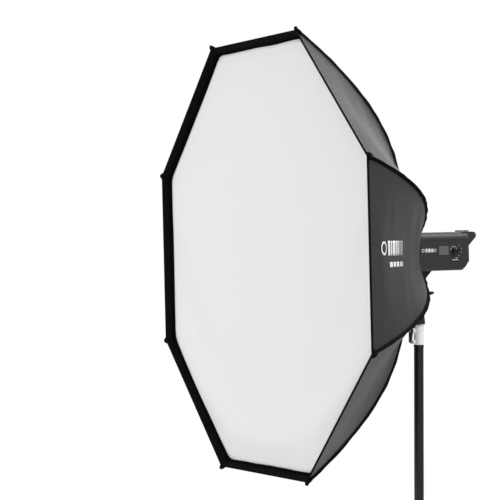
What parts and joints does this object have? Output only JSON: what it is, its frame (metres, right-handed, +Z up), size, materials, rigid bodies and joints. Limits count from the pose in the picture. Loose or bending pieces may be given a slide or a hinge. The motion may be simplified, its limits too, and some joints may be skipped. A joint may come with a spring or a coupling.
{
  "type": "studio softbox",
  "caption": "Octagonal softbox on a monolight head, with speedring, rods and white diffuser, on a folding column stand.",
  "frame": {"origin": "on the floor, at the middle of the bounding box, between the softbox's front rim and the rear feet", "axes": "+Z up the column; the light shines towards -Y, 1.5 degrees down; +X is the side of the head that carries the controls"},
  "size_m": [1.386, 0.8907, 2.3568],
  "materials": {
    "shell_cloth": "black coated nylon with a fine rib",
    "rim_band": "black hook-and-loop tape and binding",
    "diffuser_cloth": "translucent white ripstop",
    "silver_lining": "silver reflective coating inside the shell",
    "rod_fibre": "pultruded fibreglass",
    "ring_metal": "satin cast",
    "mount_metal": "black anodised",
    "stand_metal": "black anodised tube",
    "joint_plastic": "moulded nylon, lightly textured",
    "head_plastic": "moulded ABS, fine texture",
    "control_plastic": "satin buttons and dial",
    "display_plastic": "smoked window",
    "printed_white": "printed marks",
    "column_metal": "light grey powder coat",
    "spigot_steel": "turned",
    "lamp_glass": "clear borosilicate",
    "lamp_ceramic": "white ceramic base",
    "capacitor_can": "sleeved can",
    "board_green": "circuit board",
    "foot_rubber": "matt"
  },
  "bodies": {
    "column_base": {"lower_tube": "stand_metal", "mid_collar": "joint_plastic", "leg_spider": "joint_plastic"},
    "crown": {"leg_crown": "joint_plastic"},
    "crown_clamp": {"crown_knob": "joint_plastic"},
    "mast_clamp": {"mid_knob": "joint_plastic"},
    "folding_leg_1": {"leg_1": "stand_metal", "foot_1": "foot_rubber"},
    "folding_brace_1": {"brace_1": "stand_metal"},
    "folding_leg_2": {"leg_2": "stand_metal", "foot_2": "foot_rubber"},
    "folding_brace_2": {"brace_2": "stand_metal"},
    "folding_leg_3": {"leg_3": "stand_metal", "foot_3": "foot_rubber"},
    "folding_brace_3": {"brace_3": "stand_metal"},
    "mast": {"upper_tube": "stand_metal", "column_head": "column_metal", "spigot": "spigot_steel"},
    "mast_lever": {"column_lever": "joint_plastic"},
    "receiver": {"stand_receiver": "mount_metal", "tilt_bolt": "spigot_steel"},
    "receiver_clamp": {"receiver_knob": "joint_plastic"},
    "tilt_handle": {"tilt_lever": "joint_plastic"},
    "flash_head": {"head_casing": "head_plastic", "rear_cover": "head_plastic", "mount_ring": "mount_metal", "display_window": "display_plastic", "mains_inlet": "joint_plastic", "sensor_cover": "display_plastic", "tilt_yoke": "mount_metal", "lamp_base": "lamp_ceramic", "flash_tube": "lamp_glass", "modelling_lamp": "lamp_glass", "glass_dome": "lamp_glass", "capacitor": "capacitor_can", "circuit_board": "board_green", "bayonet_adapter": "ring_metal"},
    "dial": {"power_dial": "control_plastic"},
    "key_1": {"button_1": "control_plastic"},
    "key_2": {"button_2": "control_plastic"},
    "key_3": {"button_3": "control_plastic"},
    "key_4": {"button_4": "control_plastic"},
    "rocker": {"power_switch": "control_plastic"},
    "bayonet_catch": {"bayonet_release": "joint_plastic"},
    "fan": {"fan_rotor": "joint_plastic"},
    "softbox": {"shell_upper": "shell_cloth", "shell_lower": "shell_cloth", "front_lip": "rim_band", "front_diffuser": "diffuser_cloth", "inner_baffle": "diffuser_cloth", "speedring": "ring_metal", "rod_1": "rod_fibre", "rod_2": "rod_fibre", "rod_3": "rod_fibre", "rod_4": "rod_fibre", "rod_5": "rod_fibre", "rod_6": "rod_fibre", "rod_7": "rod_fibre", "rod_8": "rod_fibre"},
    "ring_clamp": {"speedring_thumbscrew": "joint_plastic"}
  },
  "joints": [
    {"name": "crown_slide", "type": "slide", "parent": "column_base", "child": "crown", "axis": [0, 0, 1], "range_m": [0, 0.24]},
    {"name": "leg_1_fold", "type": "hinge", "parent": "crown", "child": "folding_leg_1", "pos_m": [0, 0.1362, 0.48], "axis": [1, 0, 0], "range_deg": [0, 29.25]},
    {"name": "brace_1_fold", "type": "hinge", "parent": "column_base", "child": "folding_brace_1", "pos_m": [0, 0.1362, 0.12], "axis": [-1, 0, 0], "range_deg": [0, 47.88]},
    {"name": "leg_2_fold", "type": "hinge", "parent": "crown", "child": "folding_leg_2", "pos_m": [0.03897, 0.2037, 0.48], "axis": [-0.5, 0.866, 0], "range_deg": [0, 29.25]},
    {"name": "brace_2_fold", "type": "hinge", "parent": "column_base", "child": "folding_brace_2", "pos_m": [0.03897, 0.2037, 0.12], "axis": [0.5, -0.866, 0], "range_deg": [0, 47.88]},
    {"name": "leg_3_fold", "type": "hinge", "parent": "crown", "child": "folding_leg_3", "pos_m": [-0.03897, 0.2037, 0.48], "axis": [-0.5, -0.866, 0], "range_deg": [0, 29.25]},
    {"name": "brace_3_fold", "type": "hinge", "parent": "column_base", "child": "folding_brace_3", "pos_m": [-0.03897, 0.2037, 0.12], "axis": [0.5, 0.866, 0], "range_deg": [0, 47.88]},
    {"name": "crown_knob_turn", "type": "hinge", "parent": "crown", "child": "crown_clamp", "pos_m": [0, 0.2177, 0.48], "axis": [0, 1, 0], "range_deg": [0, 180]},
    {"name": "mid_knob_turn", "type": "hinge", "parent": "column_base", "child": "mast_clamp", "pos_m": [0.0345, 0.1812, 0.817], "axis": [1, 0, 0], "range_deg": [0, 180]},
    {"name": "mast_slide", "type": "slide", "parent": "column_base", "child": "mast", "axis": [0, 0, 1], "range_m": [-0.19, 0.36]},
    {"name": "column_lever_turn", "type": "hinge", "parent": "mast", "child": "mast_lever", "pos_m": [0, 0.1547, 1.42], "axis": [0, -1, 0], "range_deg": [0, 90]},
    {"name": "receiver_pan", "type": "hinge", "parent": "mast", "child": "receiver", "pos_m": [0, 0.1812, 1.465], "axis": [0, 0, 1], "continuous": true},
    {"name": "receiver_knob_turn", "type": "hinge", "parent": "receiver", "child": "receiver_clamp", "pos_m": [-0.009, 0.1812, 1.465], "axis": [-1, 0, 0], "range_deg": [0, 180]},
    {"name": "tilt_lever_turn", "type": "hinge", "parent": "receiver", "child": "tilt_handle", "pos_m": [0, 0.1812, 1.54], "axis": [1, 0, 0], "range_deg": [0, 90]},
    {"name": "head_tilt", "type": "hinge", "parent": "receiver", "child": "flash_head", "pos_m": [0, 0.1812, 1.54], "axis": [-1, 0, 0], "range_deg": [-23, 76]},
    {"name": "dial_turn", "type": "hinge", "parent": "flash_head", "child": "dial", "pos_m": [0.0625, 0.28139, 1.68667], "axis": [1, 0, 0], "continuous": true},
    {"name": "button_1_press", "type": "slide", "parent": "flash_head", "child": "key_1", "axis": [-1, 0, 0], "range_m": [0, 0.0012], "stiffness_N_per_m": 400, "springref_m": -0.001},
    {"name": "button_2_press", "type": "slide", "parent": "flash_head", "child": "key_2", "axis": [-1, 0, 0], "range_m": [0, 0.0012], "stiffness_N_per_m": 400, "springref_m": -0.001},
    {"name": "button_3_press", "type": "slide", "parent": "flash_head", "child": "key_3", "axis": [-1, 0, 0], "range_m": [0, 0.0012], "stiffness_N_per_m": 400, "springref_m": -0.001},
    {"name": "button_4_press", "type": "slide", "parent": "flash_head", "child": "key_4", "axis": [-1, 0, 0], "range_m": [0, 0.0012], "stiffness_N_per_m": 400, "springref_m": -0.001},
    {"name": "power_switch_rock", "type": "hinge", "parent": "flash_head", "child": "rocker", "pos_m": [-0.028, 0.33996, 1.6657], "axis": [0, -0.0262, 0.9997], "range_deg": [-5, 5]},
    {"name": "bayonet_release_slide", "type": "slide", "parent": "flash_head", "child": "bayonet_catch", "axis": [0, 0.9997, 0.0262], "range_m": [0, 0.005], "stiffness_N_per_m": 400, "springref_m": -0.004},
    {"name": "fan_spin", "type": "hinge", "parent": "flash_head", "child": "fan", "pos_m": [0, 0.30539, 1.6873], "axis": [0, 0.9997, 0.0262], "continuous": true},
    {"name": "softbox_turn", "type": "hinge", "parent": "flash_head", "child": "softbox", "pos_m": [0, 0.10456, 1.67804], "axis": [0, -0.9997, -0.0262], "continuous": true},
    {"name": "speedring_thumbscrew_turn", "type": "hinge", "parent": "softbox", "child": "ring_clamp", "pos_m": [0, 0.10281, 1.76402], "axis": [0, 0.9997, 0.0262], "range_deg": [0, 180]}
  ],
  "couplings": [
    {"joint": "leg_1_fold", "follows": "crown_slide", "rad_per_m": 2.0911},
    {"joint": "brace_1_fold", "follows": "crown_slide", "rad_per_m": 3.4459},
    {"joint": "leg_2_fold", "follows": "crown_slide", "rad_per_m": 2.0911},
    {"joint": "brace_2_fold", "follows": "crown_slide", "rad_per_m": 3.4459},
    {"joint": "leg_3_fold", "follows": "crown_slide", "rad_per_m": 2.0911},
    {"joint": "brace_3_fold", "follows": "crown_slide", "rad_per_m": 3.4459}
  ]
}
